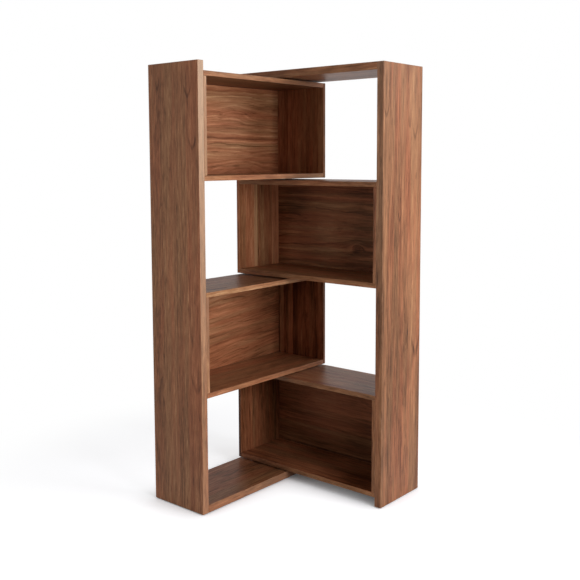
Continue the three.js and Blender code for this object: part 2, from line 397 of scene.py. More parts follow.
def place_in_tree(draw):
    """Where one board's leaves were cut, in metres. The draws have to keep their order."""
    return {
        "heart": draw.uniform(*HEART),  # where the heart line passes, across the board
        "depth": draw.uniform(*DEPTH),  # how far it lies below the cut
        "rise": draw.uniform(*RISE) * draw.choice((-1, 1)),  # how fast the cut leaves it, along the board
        "slant": draw.uniform(*SLANT),  # how far the grain turns across the board
        "tone": draw.uniform(*TONE),
        "seed": draw.uniform(*SEEDS),
    }


boards = sorted(node for node in nodes if is_board(node))
tree_draw = random.Random(PLACES_SEED)
cuts = {node: place_in_tree(tree_draw) for node in boards}
print("boards to veneer:", len(boards))

# %% [markdown]
# Where a leaf was cut isn't all that makes it look as it does. These settings are the same for most
# boards, so they stand in one table, and a board that differs only names what differs.

# %% Say how the veneer of a plain board looks
COMMON = {
    "leaf": 0.06,  # the leaves' width
    "drift": 0.6,  # how far neighbouring leaves are moved along the tree
    "play": 0.14,  # how much lighter or darker one leaf is than the next
    "edge_tone": 0.01,  # how much lighter its edge strips are
    "edge_sapwood_and_highlight": 0.08,  # how much pale sapwood they have, with a painted highlight rising along them
    "lines": 0.50,  # strength of the year rings
    "winters": 0.16,  # strength of the few dark ones among them
    "streaks": 1.0,  # strength of the short fibres
    "fibres": 12.0,  # fibres end to end in a metre
    "tint": 1.3,  # how much the hue plays between red and olive
    "warm": 0.56,  # 0 for red wood, 1 for olive
    "sheen": 0.20,  # how much the lacquer reflects
    "wave": 0.026,  # how far the rings wander
    "wave_count": 2.2,  # waves to a metre
    "eyes": 0.72,  # share of places without a pin knot
    "knots": [],  # place along and across, length, width, push on the rings
    "forks": [],  # where a branch left: tip along and across, length, half width
    # ovals of tone; many of them are painted shade in deep corners, and some are painted light
    "tone_and_shading_ovals": [],  # place along and across, length, width, tone
}
print("settings of a board:", len(COMMON))

# %% [markdown]
# Two kinds of boards differ. A box's back is one wide leaf with long fibres and clear arches. The end
# panels are made of narrow strips, light and dark, red and olive, laid side by side.

# %% Tell the backs and the end panels apart
KINDS = {
    "_back": {
        "leaf": 0.19,
        "drift": 0.12,
        "lines": 0.80,
        "winters": 0.22,
        "streaks": 0.85,
        "fibres": 7.0,
        "tint": 1.5,
        "warm": 0.40,
        "sheen": 0.12,
        "wave_count": 3.0,
    },
    "_end": {
        "leaf": 0.026,
        "drift": 0.9,
        "play": 0.42,
        # painted shade: the end panels' front edges are darkened, as they lie in the corner where the halves
        # cross
        "edge_tone": -0.30,
        "edge_sapwood_and_highlight": 0.0,
        "tint": 1.7,
        "warm": 0.42,
        "sheen": 0.12,
    },
}
for node, cut in cuts.items():
    cut.update(COMMON)
    for ending, settings in KINDS.items():
        if node.endswith(ending):
            cut.update(settings)
print("kinds with settings of their own:", len(KINDS))

# %% [markdown]
# No two boards of a real shelf are alike, so each may have marks of its own besides its kind's settings.
# They could all come by chance, but then the shelf would be some shelf of this kind and not this one.
# The tall sides come first: a branch left forks on them, and their edge strips hold pale sapwood, with a
# painted highlight that grows towards the top. Places are in metres from the board's middle.

# %% Mark the tall sides
OWN = {
    "left_tall_side": {
        "leaf": 0.07,
        "streaks": 1.25,
        "edge_tone": 0.065,
        "edge_sapwood_and_highlight": 0.62,
        "forks": [
            (-0.400, -0.118, 0.060, 0.034),
            (0.565, -0.108, 0.045, 0.026),
            (0.765, -0.085, 0.040, 0.022),
            (0.800, 0.090, 0.040, 0.014),
        ],
    },
    "right_tall_side": {
        "leaf": 0.055,
        "play": 0.2,
        "fibres": 8.0,
        "edge_tone": 0.12,
        "eyes": 0.60,
        "forks": [
            (-0.300, 0.108, 0.080, 0.034),
            (0.690, -0.122, 0.045, 0.020),
            (0.610, 0.090, 0.060, 0.024),
            (0.270, -0.020, 0.040, 0.014),
        ],
    },
}
print("forks on the tall sides:", [len(marks["forks"]) for marks in OWN.values()])

# %% [markdown]
# The backs of the boxes show the most figure. The first has straight lines between two arches, the
# second an eye, the third waves, and the fourth is calm. Broad ovals are darker or lighter, as they are
# in the photograph. The dark ovals in the corners of the backs are painted shade, and the light ones are
# partly the wood's tone and partly painted light.

# %% Mark the backs
# The dark ovals in the corners of these backs are painted shade, and the light ones are partly painted
# light.
BACKS = {
    "box_1_back": {
        "heart": -0.22,
        "depth": 0.06,
        "lines": 0.95,
        "warm": 0.15,
        "knots": [(0.07, 0.080, 0.10, 0.045, -0.026), (0.13, -0.170, 0.12, 0.045, -0.030)],
        "tone_and_shading_ovals": [(0.24, 0.10, 0.09, 0.17, -0.15), (0.0, -0.02, 0.3, 0.07, 0.04)],
    },
    "box_2_back": {
        "lines": 0.78,
        "wave": 0.020,
        "eyes": 0.55,
        "knots": [(-0.095, -0.085, 0.036, 0.026, 0.020)],
        "tone_and_shading_ovals": [
            (0.09, -0.05, 0.10, 0.20, 0.34),
            (0.27, 0.13, 0.10, 0.12, -0.30),
            (-0.15, 0.0, 0.11, 0.40, -0.24),
            (-0.085, -0.110, 0.013, 0.008, -0.28),
        ],
    },
    "box_3_back": {
        "slant": 0.08,
        "lines": 0.62,
        "wave": 0.040,
        "warm": 0.30,
        "tone_and_shading_ovals": [
            (0.32, 0.12, 0.10, 0.15, -0.32),
            (0.06, -0.09, 0.12, 0.035, 0.12),
            (-0.02, 0.10, 0.08, 0.060, 0.08),
        ],
    },
    "box_4_back": {
        "lines": 0.50,
        "winters": 0.08,
        "streaks": 0.7,
        "tone_and_shading_ovals": [
            (0.0, -0.20, 0.40, 0.10, -0.18),
            (-0.16, -0.12, 0.11, 0.20, -0.26),
            (0.28, 0.0, 0.08, 0.30, -0.12),
            (0.09, 0.0, 0.09, 0.16, 0.18),
        ],
    },
}
OWN.update(BACKS)
print("ovals on the backs:", [len(marks["tone_and_shading_ovals"]) for marks in BACKS.values()])

# %% [markdown]
# The end panels are narrow strips side by side, so what one sees is which strips came together. That
# hangs on the seed alone. Of many seeds, these laid the strips most like those in the photograph. These
# panels and some of the next boards have ovals too.

# %% Mark the end panels
ENDS = {
    "box_1_end": {"seed": 33.37, "lines": 0.28, "play": 0.36, "tone_and_shading_ovals": [(-0.09, -0.12, 0.22, 0.07, 0.22)]},
    "box_2_end": {"seed": 46.37, "play": 0.65, "tone_and_shading_ovals": [(-0.06, 0.04, 0.16, 0.11, 0.16)]},
    "box_3_end": {
        "seed": 14.37,
        "play": 0.60,
        "warm": 0.26,
        "tone_and_shading_ovals": [(-0.08, 0.0, 0.16, 0.09, 0.26), (0.20, 0.0, 0.10, 0.3, -0.14)],
    },
    "box_4_end": {
        "seed": 3.37,
        "lines": 0.35,
        "play": 0.3,
        "warm": 0.14,
        "tone_and_shading_ovals": [(0.17, 0.0, 0.08, 0.3, -0.26), (0.05, 0.13, 0.16, 0.04, -0.34)],
    },
}
OWN.update(ENDS)
print("seeds of the end panels:", [marks["seed"] for marks in ENDS.values()])

# %% [markdown]
# The other boards differ in their edge strips, light or dark. On box 1's lining, which stands high, the
# light is partly a painted highlight. Those whose faces are seen at a flat angle have a duller lacquer,
# because a full one would bleach them with the white of the studio.

# %% Mark the other boards
OTHERS = {
    "left_base_board": {"edge_sapwood_and_highlight": 0.30, "sheen": 0.10},
    "right_top_board": {"sheen": 0.14, "tone_and_shading_ovals": [(-0.36, 0.0, 0.12, 0.4, -0.12)]},
    # the pale, light edge here is partly a painted highlight on the upper front edges
    "box_1_lining": {"edge_tone": 0.15, "edge_sapwood_and_highlight": 0.60},
    "box_2_lining": {"edge_tone": -0.15, "edge_sapwood_and_highlight": 0.0},
    "box_3_lining": {"edge_tone": 0.05, "edge_sapwood_and_highlight": 0.28},
    "box_4_lining": {"edge_tone": -0.08, "edge_sapwood_and_highlight": 0.0},
    "box_2_top": {"sheen": 0.12},
    # painted light: the oval lightens the part of box 3's top that lies in the shadow of box 2
    "box_3_top": {"sheen": 0.09, "tone_and_shading_ovals": [(0.26, 0.0, 0.14, 0.4, 0.18)]},
    "box_2_bottom": {"sheen": 0.10},
    "box_4_bottom": {
        "warm": 0.36,
        "sheen": 0.10,
        "tone_and_shading_ovals": [
            # painted shadow: this oval darkens the box's floor beside the right tall side, where its shadow
            # falls
            (-0.24, -0.06, 0.12, 0.14, -0.40),
            (0.27, -0.10, 0.10, 0.06, -0.12),
            (0.05, -0.10, 0.11, 0.06, 0.14),
            (0.27, 0.10, 0.09, 0.06, 0.12),
        ],
    },
}
OWN.update(OTHERS)
for node, settings in OWN.items():
    cuts[node].update(settings)
print("boards with marks of their own:", len(OWN))

# %% [markdown]
# Veneers of one tree still differ in tone from board to board, and so do the edge strips cut from them.
# One number for the faces and one for the edges is added to what chance gave. Part of that is painted
# shade and light: box 3's end panel, deep in shade, is much darker, and the lighter edges of the left
# half's boards are partly a painted highlight. These numbers were found by laying the picture beside
# the photograph, time and again.

# %% Shade the boards
SHADES = {  # how much lighter a board's faces and its edges are
    "right_tall_side": (-0.03, 0.04),
    # the lighter edges of the left half's boards are partly tone and partly a painted highlight
    "left_base_board": (-0.10, 0.13),
    "right_top_board": (0.0, 0.05),
    "box_1_top": (-0.13, 0.22),
    "box_1_bottom": (0.0, 0.22),
    "box_1_end": (0.03, 0.0),
    "box_1_back": (0.11, 0.0),
    "box_2_top": (0.0, 0.05),
    "box_2_bottom": (0.04, 0.02),
    "box_2_end": (0.14, 0.0),
    "box_2_back": (0.02, 0.0),
    "box_3_top": (-0.04, 0.19),
    "box_3_bottom": (0.0, 0.11),
    # painted shade: this end panel lies deep in shade and is darkened
    "box_3_end": (-0.28, 0.0),
    "box_3_back": (0.06, 0.0),
    "box_4_top": (0.0, -0.10),
    "box_4_bottom": (-0.10, 0.11),
    "box_4_end": (-0.13, 0.0),
    "box_4_back": (-0.06, 0.0),
}
for node, (face, edge) in SHADES.items():
    cuts[node]["tone"] += face
    cuts[node]["edge_tone"] += edge
print("boards with a shade of their own:", len(SHADES))

# %% [markdown]
# A board's face, edge and end each carry their own strip of veneer, and its grain always runs along the
# strip. So the pattern isn't laid out in x, y and z, but along and across whatever strip a point lies
# on. The normal tells which one that is, and on the eased corner between two strips it points halfway.
# The two faces of a panel are two leaves, so the marks and the tone that the tables give to a box's back
# or end are those of the face that looks into the box, and its other face is plain.

# %% Lay out the strips of veneer
FLAT = 0.95  # how straight a normal looks along an axis where the board isn't eased
STEEP = 0.75  # how far it has to turn to an edge or an end to belong to it
SIDE_NUMBERS = (3.1, 7.7, 12.9)  # by axis, so that no two sides of a board share a number


def board_axes(node):
    """The board's thickness, width and length as axis numbers, from shortest to longest side."""
    low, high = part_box(node)
    size = high - low
    return sorted(range(3), key=lambda axis: size[axis])


def marked_way(node):
    """Which way the marked face of a box's back or end panel looks: into the box. 0 on other boards."""
    box, _, role = node.rpartition("_")
    if role not in ("back", "end"):
        return 0
    thick = board_axes(node)[0]
    floor_low, floor_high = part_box(box + "_bottom")
    low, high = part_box(node)
    return 1 if floor_low[thick] + floor_high[thick] > low[thick] + high[thick] else -1


def strip_layout(start, node):
    """Where a point lies on its strip: along and across it, its side's number, and three masks."""
    thick, wide, long = board_axes(node)
    spot = start.node("ShaderNodeTexCoord", output="Object").split()
    facing = start.node("ShaderNodeTexCoord", output="Normal").split()
    low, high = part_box(node)
    middle = (low + high) / 2
    on_end = abs(facing[long]).above(STEEP)
    on_band = abs(facing[wide]).above(STEEP).largest(on_end)
    straight = abs(facing[thick]).largest(abs(facing[wide])).largest(abs(facing[long]))
    eased = 1 - straight.above(FLAT)
    along = on_end.choose(spot[long] - middle[long], spot[wide] - middle[wide])
    across = on_band.choose(spot[wide] - middle[wide], spot[thick] - middle[thick])
    side = 0
    for part, number in zip(facing, SIDE_NUMBERS):
        side = side + start.maths("ROUND", part) * number
    marked = 1 - on_band
    way = marked_way(node)
    if way:
        marked = marked * (facing[thick] * way).above(0.0)
    return along, across, side, on_band, marked, eased


print("thickness, width and length of box_1_back:", board_axes("box_1_back"))

# %% [markdown]
# All noises of the wood are drawn out along the grain: one that changes a few times to a metre along the
# board changes tens or hundreds of times across it. One table holds these counts, from the clouds that
# are as wide as a leaf down to the pores.

# %% Draw noise along the grain
GRAIN = {  # changes to a metre along (None: the board's own) and across, seed's shift, detail, roughness
    "wave": (None, 8.0, 0.0, 2.0, 0.50),
    "ripple": (14.0, 42.0, 0.0, 2.0, 0.60),
    "cloud": (1.1, 5.0, 9.0, 1.0, 0.50),
    "patch": (4.0, 16.0, 29.0, 2.0, 0.50),
    "streak": (2.4, 34.0, 0.0, 2.0, 0.50),
    "fibre": (None, 125.0, 0.0, 3.0, 0.70),
    "mottle": (12.0, 40.0, 3.0, 2.0, 0.50),
    "hue": (1.6, 26.0, 17.0, 2.0, 0.55),
    "fleck": (15.0, 140.0, 0.0, 2.0, 0.50),
    "fleck_patch": (3.0, 12.0, 5.0, 2.0, 0.50),
    "pore": (110.0, 1500.0, 0.0, 1.0, 0.50),
}
FADES = {  # where a noise starts to count as a mark, and where it is one in full
    "patch": (0.44, 0.60),
    "fleck": (0.58, 0.70),
    "fleck_patch": (0.42, 0.60),
    "pore": (0.56, 0.70),
}
EVEN = 0.5  # the middle of a noise


def noise(start, place, detail, roughness):
    values = {"Vector": place, "Scale": 1.0, "Detail": detail, "Roughness": roughness}
    return start.node("ShaderNodeTexNoise", {}, values)


def line_noise(start, place, detail, roughness):
    values = {"W": place, "Scale": 1.0, "Detail": detail, "Roughness": roughness}
    return start.node("ShaderNodeTexNoise", {"noise_dimensions": "1D"}, values)


print("noises of the wood:", len(GRAIN))

# %% [markdown]
# A small class keeps what all of a board's noises need: the place along and across the grain, the seed
# and the masks. It also makes the two shapes that are given one by one: a hill, for knots and ovals, and a
# fork. A hill is e to the power of minus the squared distance, because that has no edge anywhere.

# %% Follow a board's veneer
LEAF_CHANCE = 0.7  # how unequal the leaves are
E_INVERSE = 1 / math.e
FORK_BEND = 1.5  # 1 for straight arms, 2 for a bow
FORK_LINE = (0.06, 0.34)  # from the middle of the dark line to its edge, in lengths of the fork
FORK_ARMS = (0.70, 1.15)  # where its arms fade, in half widths


class Veneer:
    """A point of one board's veneer: where it lies on its strip and in the tree."""

    def __init__(self, start, node, cut):
        self.start = start
        self.cut = cut
        self.along, self.across, side, self.on_band, self.marked, self.eased = strip_layout(start, node)
        self.on_face = 1 - self.on_band
        self.far_face = self.on_face - self.marked  # 1 on a panel's plain face
        self.seed = side + cut["seed"]
        leaf = self.across / cut["leaf"] * self.on_face + self.seed
        values = {"W": leaf, "Scale": 1.0, "Randomness": LEAF_CHANCE}
        leaves = start.node("ShaderNodeTexVoronoi", {"voronoi_dimensions": "1D"}, values, "Color")
        self.leaf_tone, leaf_shift, self.leaf_cast = leaves.split()
        self.run = self.along + (leaf_shift - EVEN) * cut["drift"]
        self.over = self.across - self.along * cut["slant"]
        self.drawn = {}

    def grain(self, name, count=None):
        """One of the table's noises, drawn once. The count along the grain may be the board's own."""
        if name not in self.drawn:
            along_count, across_count, shift, detail, roughness = GRAIN[name]
            run = self.run * (count or along_count)
            place = self.start.joined(run, self.over * across_count, self.seed + shift)
            self.drawn[name] = noise(self.start, place, detail, roughness)
        return self.drawn[name]

    def marks(self, name):
        """1 where the noise makes a mark, 0 elsewhere."""
        return self.grain(name).fade(*FADES[name])

    def hill(self, place):
        """1 in the middle of an oval place on the face, sinking smoothly to 0 round it."""
        at_along, at_across, long, wide = place
        far_along = (self.along - at_along) / long
        far_across = (self.across - at_across) / wide
        far = far_along * far_along + far_across * far_across
        return self.start.maths("POWER", E_INVERSE, far) * self.marked

    def fork(self, place):
        """A dark line bent to a V, with its tip down: the figure below a branch."""
        tip, at_across, long, half_width = place
        aside = abs(self.across - at_across) / half_width
        off = (self.along - tip) / long - aside ** FORK_BEND
        line = abs(off).fade(*FORK_LINE, 1.0, 0.0)
        return line * aside.fade(*FORK_ARMS, 1.0, 0.0) * self.marked


print("a fork's arms end at", FORK_ARMS[1], "of its half width")

# %% [markdown]
# The rings come next. A point's distance from the heart line says in which year its wood grew. The wave
# and the ripple of a tree that never grew quite straight are added to that distance, and knots push the
# rings apart, so that they flow round them. Pin knots come by chance, from the cells of a Voronoi
# pattern.

# %% Find the year in which a point grew
RIPPLE = 0.010  # metres
EYE_CELLS = (4.5, 20.0)  # to a metre, along and across
EYE_SIZE = 0.20  # share of a cell
EYE_PUSH = 0.010  # metres


def pin_knots(veneer):
    """1 in the few cells that hold a pin knot, at the cell's middle."""
    along_count, across_count = EYE_CELLS
    start = veneer.start
    place = start.joined(veneer.run * along_count, veneer.over * across_count, veneer.seed)
    cell = start.node("ShaderNodeTexVoronoi", {"voronoi_dimensions": "3D"}, {"Vector": place, "Scale": 1.0})
    chosen = cell.output("Color").split()[0].above(veneer.cut["eyes"])
    return cell.fade(0.0, EYE_SIZE, 1.0, 0.0) * chosen * veneer.on_face


def rings(veneer):
    """The distance from the heart line, in metres, and the dark middles of knots and forks."""
    cut = veneer.cut
    beside = veneer.over - cut["heart"]
    below = veneer.run * cut["rise"] + cut["depth"]
    place = (beside * beside + below * below) ** 0.5
    wave = veneer.grain("wave", cut["wave_count"])
    place = place + (wave - EVEN) * (2 * cut["wave"]) + (veneer.grain("ripple") - EVEN) * RIPPLE
    dark = pin_knots(veneer)
    place = place + dark * EYE_PUSH
    for *spot, push in cut["knots"]:
        place = place + veneer.hill(spot) * push
    for spot in cut["forks"]:
        dark = dark + veneer.fork(spot)
    return place, dark


print("pin knots in cells of", [round(1 / count, 3) for count in EYE_CELLS], "m")

# %% [markdown]
# The tone of the wood is one number, dark at 0 and light at 1. Broad bands of years make most of the
# figure. Each year ends in a thin dark line, and a hard winter now and then in a clear one. Short
# fibres, flecks and broad clouds lie over them. The edge strips are cut from other leaves, so they have
# a tone of their own.

# %% Work out the tone
BANDS = 60.0  # bands of years to a metre
BAND_DETAIL = 4.0
BAND_ROUGHNESS = 0.62
YEAR = 0.0046  # metres between two winters
LATE_POWER = 5.0  # how late in the year the wood turns dark
WINTER = 0.026  # metres between two hard ones
WINTER_LINE = (0.84, 0.96)
PLAIN_TONE = 0.57
FAR_CALM = 0.6  # how much less the leaves differ on a panel's plain face
STREAK_TONE = 0.45  # this and the next: how much each part of the figure counts
CLOUD_TONE = 0.40
LATE_TONE = 0.08
KNOT_TONE = 0.21
FLECK_TONE = 0.22
MOTTLE_TONE = 0.50


def fraction(wire):
    return wire.maths("FRACT", wire)


def board_tone(veneer, place, dark, late):
    """How light the wood is, from the rings down to the fibres."""
    cut = veneer.cut
    cloud = veneer.grain("cloud")
    bands = line_noise(veneer.start, place * BANDS + veneer.seed, BAND_DETAIL, BAND_ROUGHNESS)
    winter = fraction(place / WINTER + cloud).fade(*WINTER_LINE) * veneer.marks("patch")
    fibre = veneer.grain("fibre", cut["fibres"])
    fleck = veneer.marks("fleck") * veneer.marks("fleck_patch")
    tone = (bands - EVEN) * cut["lines"] + (fibre - EVEN) * cut["streaks"]
    tone = tone + (1 - veneer.far_face) * cut["tone"] + PLAIN_TONE
    tone = tone + (veneer.grain("streak") - EVEN) * STREAK_TONE + (cloud - EVEN) * CLOUD_TONE
    tone = tone + (veneer.leaf_tone - EVEN) * (1 - veneer.far_face * FAR_CALM) * cut["play"]
    tone = tone - late * LATE_TONE - winter * cut["winters"]
    tone = tone - dark * KNOT_TONE - fleck * FLECK_TONE
    tone = tone + veneer.on_band * ((veneer.grain("mottle") - EVEN) * MOTTLE_TONE + cut["edge_tone"])
    # ovals of tone: partly the wood's own, partly painted shade in deep corners and painted light
    for *spot, amount in cut["tone_and_shading_ovals"]:
        tone = tone + veneer.hill(spot) * amount
    return tone


print("years to a metre:", round(1 / YEAR), "hard winters:", round(1 / WINTER))

# %% [markdown]
# A ramp turns the tone into brown. Walnut also plays between a reddish and an olive brown, in streaks
# that don't follow its light and dark, so a cast is multiplied in. Sapwood, the pale outer wood, shows
# on some edge strips, more so towards the top of the tall side; that rise towards the top is a painted
# highlight. Pores are short dark scratches, and where the eased corners are rubbed by hands the wood is
# a little lighter, which also paints the thin highlight along the arrises.

# %% Work out the colour
WALNUT = [
    (0.00, (0.050, 0.015, 0.005)),
    (0.25, (0.130, 0.050, 0.021)),
    (0.50, (0.262, 0.110, 0.054)),
    (0.75, (0.390, 0.176, 0.090)),
    (1.00, (0.560, 0.300, 0.168)),
]
RED_CAST = (1.04, 0.84, 0.75, 1.0)
OLIVE_CAST = (0.97, 1.02, 0.93, 1.0)
SAPWOOD = (0.66, 0.47, 0.33, 1.0)
PORE_BROWN = (0.04, 0.016, 0.008, 1.0)
# the colour of rubbed corners, which also stands for the highlight along the arrises
WORN_AND_LIT_CORNER = (0.52, 0.30, 0.18, 1.0)
LEAF_CAST = 0.4  # how much the hue changes from leaf to leaf
HUE_CAST = 1.8  # how much it changes within a leaf
SAPWOOD_AND_HIGHLIGHT_RISE = (-0.6, 1.1)  # along the board, from little to all of it
SAPWOOD_AND_HIGHLIGHT_LEAST = 0.20
PORE_AMOUNT = 0.35
WEAR_AND_HIGHLIGHT_AMOUNT = 0.5
WEAR_AND_HIGHLIGHT_SPOTS = (0.45, 0.60)


def board_colour(veneer, tone, pore):
    """The wood's brown, with its casts, sapwood, pores and rubbed corners. Towards the top of a board the
    sapwood is partly a painted highlight, and the rubbed corners paint one along the arrises.
    """
    colour = veneer.start.node("ShaderNodeValToRGB", {"stops": WALNUT}, {"Fac": tone})
    play = (veneer.leaf_cast - EVEN) * LEAF_CAST + (veneer.grain("hue") - EVEN) * HUE_CAST
    warmth = (play * veneer.cut["tint"] + veneer.cut["warm"]).fade(0.0, 1.0)
    cast = veneer.start.mixed(warmth, RED_CAST, OLIVE_CAST)
    colour = colour.tinted(1.0, cast, "MULTIPLY")
    # pale sapwood on the edge strips; its rise along the board is a painted highlight
    pale = veneer.along.fade(*SAPWOOD_AND_HIGHLIGHT_RISE, SAPWOOD_AND_HIGHLIGHT_LEAST, 1.0) * veneer.cut["edge_sapwood_and_highlight"]
    colour = colour.tinted(veneer.on_band * pale, SAPWOOD)
    colour = colour.tinted(pore * PORE_AMOUNT, PORE_BROWN)
    # lighter spots on the eased corners: partly wear, partly a painted highlight along the arrises
    wear_and_highlight = veneer.eased * veneer.grain("ripple").fade(*WEAR_AND_HIGHLIGHT_SPOTS)
    return colour.tinted(wear_and_highlight * WEAR_AND_HIGHLIGHT_AMOUNT, WORN_AND_LIT_CORNER)


print("stops of the walnut ramp:", len(WALNUT))

# %% [markdown]
# Satin lacquer is even, but thin: it sinks a little into the pores and into the soft late wood. So these
# make a very small relief and a duller spot, and the lacquer is a little smoother where the corners are
# rubbed.

# %% Veneer the boards
SATIN = 0.46  # roughness of the lacquer
PORE_DULL = 0.16  # how much rougher it is in a pore
LIGHT_SMOOTH = 0.06  # how much smoother on light wood
CORNER_SMOOTH = 0.06
YEAR_IN_PORE = 0.6  # pores are fewer late in the year
LATE_RELIEF = 0.3  # how far late wood sinks, against a pore
RELIEF_STRENGTH = 0.25
RELIEF_DEPTH = 0.0002  # metres


def walnut(node, cut):
    """The finish of one board."""
    material, shader, start = new_finish("walnut_" + node)
    veneer = Veneer(start, node, cut)
    place, dark = rings(veneer)
    year = fraction(place / YEAR)
    late = year ** LATE_POWER
    pore = veneer.marks("pore") * (1 - year * YEAR_IN_PORE)
    tone = board_tone(veneer, place, dark, late)
    feed(board_colour(veneer, tone, pore), shader, "Base Color")
    gloss = tone * LIGHT_SMOOTH + veneer.eased * CORNER_SMOOTH
    feed(pore * PORE_DULL - gloss + SATIN, shader, "Roughness")
    relief = 1 - pore - late * LATE_RELIEF
    values = {"Strength": RELIEF_STRENGTH, "Distance": RELIEF_DEPTH, "Height": relief}
    feed(start.node("ShaderNodeBump", {}, values), shader, "Normal")
    shader.inputs["Specular IOR Level"].default_value = cut["sheen"]
    return material


for node in boards:
    nodes[node].material_slots[0].material = walnut(node, cuts[node])
print("veneered:", len(boards))

# %% [markdown]
# ## Turned fittings
#
# Pins, bushes, screws and glides are turned on a lathe or moulded round. The solids that come with the
# shelf have few sides, which shows in a close look. A cylinder with more sides would still lack the
# socket for the key, the flutes that grip the wood and the thread. So each fitting is made again as
# rings round an axis: a profile of radius and height, with a cross-section that may be round, a hexagon,
# fluted or a thread.

# %% Shape a ring
MM = 0.001
AROUND = 72  # points on a ring, a multiple of six for the hexagon
FLUTES = 24
FLUTE_DEPTH = 0.035  # share of the radius
THREAD_PITCH = 3.2  # millimetres, like every size of a profile
THREAD_DEPTH = 1.25
THREAD_FLANK = 0.8  # share of half a turn from the thread's crest down to its root
HEXAGON_CORNER = math.radians(60)


def section(shape, angle, height, radius):
    """The radius at an angle of one ring's cross-section."""
    if shape == "hexagon":
        return radius / math.cos(angle % HEXAGON_CORNER - HEXAGON_CORNER / 2)
    if shape == "fluted":
        return radius * (1 - FLUTE_DEPTH * (1 - math.cos(FLUTES * angle)) / 2)
    if shape == "thread":
        round_share = (height / THREAD_PITCH - angle / math.tau) % 1.0
        return radius - THREAD_DEPTH * min(1.0, abs(2 * round_share - 1) / THREAD_FLANK)
    return radius


def add_ring(mesh, radius, height, shape):
    """The points of one ring, or the one point of a tip."""
    if radius == 0:
        return [mesh.verts.new((0, 0, height * MM))]
    ring = []
    for i in range(AROUND):
        angle = math.tau * i / AROUND
        reach = section(shape, angle, height, radius) * MM
        ring.append(mesh.verts.new((reach * math.cos(angle), reach * math.sin(angle), height * MM)))
    return ring


print("points on a ring:", AROUND)

# %% [markdown]
# Every ring has the same number of points, so one loop joins them all with bands of faces. The surface
# is then shaded smooth, except where two bands meet at a clear angle, as at the rim of a collar.

# %% Turn a piece from its rings
SMOOTH_ANGLE = math.radians(32)


def join_rings(mesh, lower, upper):
    """A band of faces between two rings. A tip's one point stands for all of its ring."""
    for i in range(AROUND):
        j = (i + 1) % AROUND
        below = [lower[i % len(lower)], lower[j % len(lower)]]
        above = [upper[j % len(upper)], upper[i % len(upper)]]
        mesh.faces.new(list(dict.fromkeys(below + above)))


def turned_mesh(name, stations):
    """A closed mesh from stations of radius, height and cross-section, in millimetres."""
    mesh = bmesh.new()
    hoops = [add_ring(mesh, *station) for station in stations]
    for lower, upper in zip(hoops, hoops[1:]):
        join_rings(mesh, lower, upper)
    if len(hoops[0]) > 1:  # a sleeve: its last ring joins its first
        join_rings(mesh, hoops[-1], hoops[0])
    bmesh.ops.recalc_face_normals(mesh, faces=mesh.faces)
    made = bpy.data.meshes.new(name)
    mesh.to_mesh(made)
    mesh.free()
    made.shade_smooth()
    made.set_sharp_from_angle(angle=SMOOTH_ANGLE)
    return made


print("bands meet smoothly up to", round(math.degrees(SMOOTH_ANGLE)), "degrees")

# %% [markdown]
# A turned corner is never sharp: the lathe hand breaks it with a file, and a mould has a small radius
# there. A Bevel modifier would do this too, but it would also cut into flutes and thread. So the corners
# are broken in the profile, before it is turned, and only where it is round.

# %% Break the corners of a profile
BROKEN_CORNER = 0.35  # millimetres
LEAST_CORNER = 0.02
CORNER_PART = 3  # a corner takes at most a third of a side
CORNER_STEPS = 3


def broken_corner(before, here, after):
    """The stations of a small arc in place of one corner."""
    middle = Vector(here[:2])
    back = Vector(before[:2]) - middle
    on = Vector(after[:2]) - middle
    reach = min(BROKEN_CORNER, back.length / CORNER_PART, on.length / CORNER_PART)
    shapes = {before[2], here[2], after[2]}
    if shapes != {"round"} or reach < LEAST_CORNER:
        return [here]
    start = middle + back.normalized() * reach
    end = middle + on.normalized() * reach
    arc = []
    for i in range(CORNER_STEPS + 1):
        t = i / CORNER_STEPS
        point = start * (1 - t) ** 2 + middle * 2 * t * (1 - t) + end * t ** 2
        arc.append((point.x, point.y, "round"))
    return arc


def rounded(profile):
    """The profile with all its corners broken."""
    stations = [(*point, "round")[:3] for point in profile]
    made = [stations[0]]
    for before, here, after in zip(stations, stations[1:], stations[2:]):
        made += broken_corner(before, here, after)
    return made + [stations[-1]]


print("corner broken by", BROKEN_CORNER, "mm")

# %% [markdown]
# The profiles repeat the sizes of the solids that they stand for, with the small things that a lathe and
# a mould add: flutes along a pin's shank, barbs on a bush's sleeve and on a glide's stem, the socket for
# the key and a coarse wood thread. A station is a radius and a height, and its cross-section where that
# isn't round.

# %% Draw the profiles
SEAT_DEPTH = 13.5  # how deep a pin or a bush sits in its board
THREAD_STEPS = 8  # rings to a turn of the thread


def threaded(radius, low, high):
    """Stations of a screw thread between two heights."""
    count = round((high - low) / THREAD_PITCH * THREAD_STEPS)
    return [(radius, low + (high - low) * i / count, "thread") for i in range(count + 1)]


SHANK = [(6.2, -SEAT_DEPTH), (7.0, -12.7, "fluted"), (7.0, -1.6, "fluted"), (6.5, -1.2)]
COLLAR = [(6.5, 0.3), (19.0, 0.3), (19.0, 3.2), (5.2, 3.2)]
JOURNAL = [(4.5, 3.5), (4.5, 14.9), (3.7, 15.7), (0, 15.7)]
PIN = [(0, -SEAT_DEPTH), *SHANK, *COLLAR, *JOURNAL]

SLEEVE = [(4.87, -12.9), (5.4, -SEAT_DEPTH), (6.4, -SEAT_DEPTH)]
SLEEVE_BARBS = [(7.0, -11.2), (6.6, -11.0), (6.6, -9.0), (7.0, -7.0), (6.6, -6.8), (6.6, -4.8), (7.0, -2.8)]
FLANGE = [(6.6, -2.6), (6.6, 0.3), (19.0, 0.3), (19.0, 3.3), (5.4, 3.3), (4.87, 2.8)]
BUSH = [*SLEEVE, *SLEEVE_BARBS, *FLANGE]

